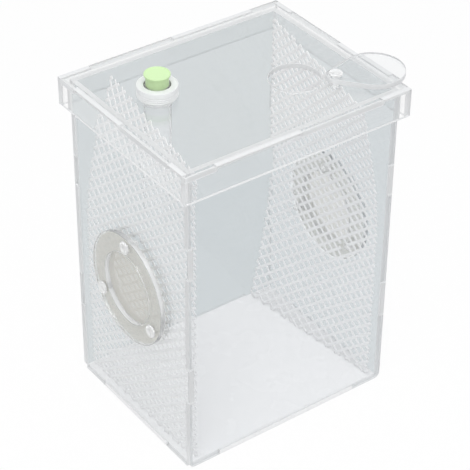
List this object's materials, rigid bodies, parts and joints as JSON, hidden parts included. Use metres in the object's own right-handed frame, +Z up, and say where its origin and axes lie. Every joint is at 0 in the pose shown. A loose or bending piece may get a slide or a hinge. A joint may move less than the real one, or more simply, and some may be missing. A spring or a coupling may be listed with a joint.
{
  "type": "acrylic terrarium",
  "caption": "Small clear terrarium box with lift-off lid, swivelling feeding-port cover, stoppered drinking tube, round mesh side vents and climbing nets.",
  "frame": {"origin": "middle of the underside of the floor panel, under the middle of the four walls", "axes": "+Z up, the longest extent; +X right along the front panel; +Y to the back, the shortest extent"},
  "size_m": [0.161, 0.1218, 0.2175],
  "materials": {
    "clear_acrylic": "polished, with bright laser-cut edges",
    "white_acrylic": "opaque white, glossy",
    "net_plastic": "white moulded mesh, satin",
    "steel_mesh": "fine woven stainless wire",
    "clear_nylon": "clear moulded, glossy",
    "frosted_silicone": "translucent, satin",
    "clear_tube": "clear, glossy",
    "lime_rubber": "lime green, satin"
  },
  "bodies": {
    "tank": {"floor_panel": "white_acrylic", "front_panel": "clear_acrylic", "back_panel": "clear_acrylic", "left_panel": "clear_acrylic", "right_panel": "clear_acrylic", "left_vent_mesh": "steel_mesh", "right_vent_mesh": "steel_mesh", "left_vent_ring": "clear_acrylic", "right_vent_ring": "clear_acrylic", "left_vent_rivets": "clear_nylon", "right_vent_rivets": "clear_nylon", "left_climbing_net": "net_plastic", "right_climbing_net": "net_plastic"},
    "lid": {"lid_plate": "clear_acrylic", "lid_front_strip": "clear_acrylic", "lid_back_strip": "clear_acrylic", "lid_left_strip": "clear_acrylic", "lid_right_strip": "clear_acrylic", "cover_rivet": "clear_nylon", "tube_collar": "frosted_silicone"},
    "cover": {"feed_cover": "clear_acrylic"},
    "tube": {"drinking_tube": "clear_tube"},
    "stopper": {"tube_stopper": "lime_rubber"}
  },
  "joints": [
    {"name": "lid_lift", "type": "slide", "parent": "tank", "child": "lid", "axis": [0, 0, 1], "range_m": [0, 0.1]},
    {"name": "cover_swivel", "type": "hinge", "parent": "lid", "child": "cover", "pos_m": [0.0472, -0.029, 0.206], "axis": [0, 0, 1], "continuous": true},
    {"name": "tube_pull", "type": "slide", "parent": "lid", "child": "tube", "axis": [0, 0, 1], "range_m": [0, 0.085]},
    {"name": "stopper_pull", "type": "slide", "parent": "tube", "child": "stopper", "axis": [0, 0, 1], "range_m": [0, 0.015]}
  ]
}
